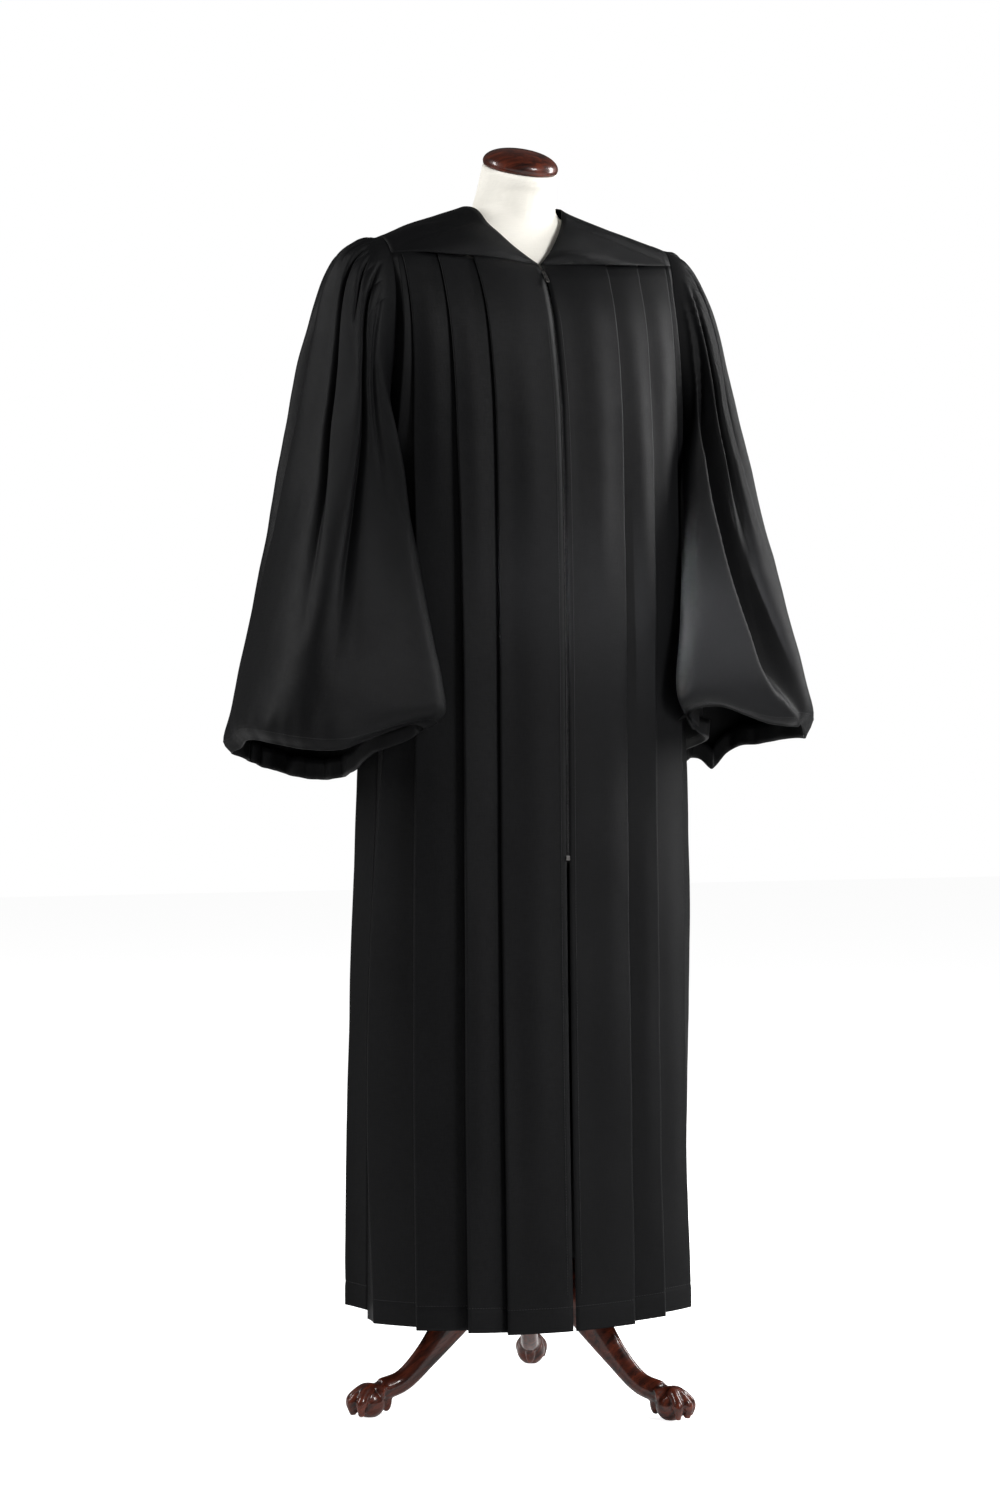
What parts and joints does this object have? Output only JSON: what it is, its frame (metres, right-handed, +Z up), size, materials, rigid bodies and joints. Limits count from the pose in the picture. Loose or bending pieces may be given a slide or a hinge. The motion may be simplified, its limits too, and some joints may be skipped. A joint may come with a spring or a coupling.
{
  "type": "barrister gown on a dress form",
  "caption": "Pleated robe with a yoke, V neck, front zip and bell sleeves, on a limbless dress form with a tripod stand.",
  "frame": {"origin": "on the floor under the middle of the object's box", "axes": "+Z up, the gown faces -Y, +X is the wearer's left"},
  "size_m": [0.7232, 0.4134, 1.5206],
  "materials": {
    "gown_cloth": "near-black fine twill with a soft grey sheen",
    "zip_chain": "black zip chain",
    "zip_metal": "black enamelled metal, worn bright at the edges",
    "form_cover": "ivory linen stretched over the form",
    "mahogany": "dark red-brown mahogany under gloss varnish",
    "pole_steel": "brushed steel pole"
  },
  "bodies": {
    "gown_on_form": {"front_right": "gown_cloth", "front_left": "gown_cloth", "back": "gown_cloth", "yoke": "gown_cloth", "sleeve_right": "gown_cloth", "sleeve_left": "gown_cloth", "zip_chain": "zip_chain", "zip_slider": "zip_metal", "form_torso": "form_cover", "neck_cap": "mahogany", "pole": "pole_steel", "base_column": "mahogany", "leg_front_right": "mahogany", "leg_front_left": "mahogany", "leg_back": "mahogany"},
    "pull_tab": {"zip_pull": "zip_metal"}
  },
  "joints": [
    {"name": "pull_tab_hinge", "type": "hinge", "parent": "gown_on_form", "child": "pull_tab", "pos_m": [-0.0001, -0.06478, 1.35766], "axis": [-1, 0, 0], "range_deg": [0, 160]}
  ]
}
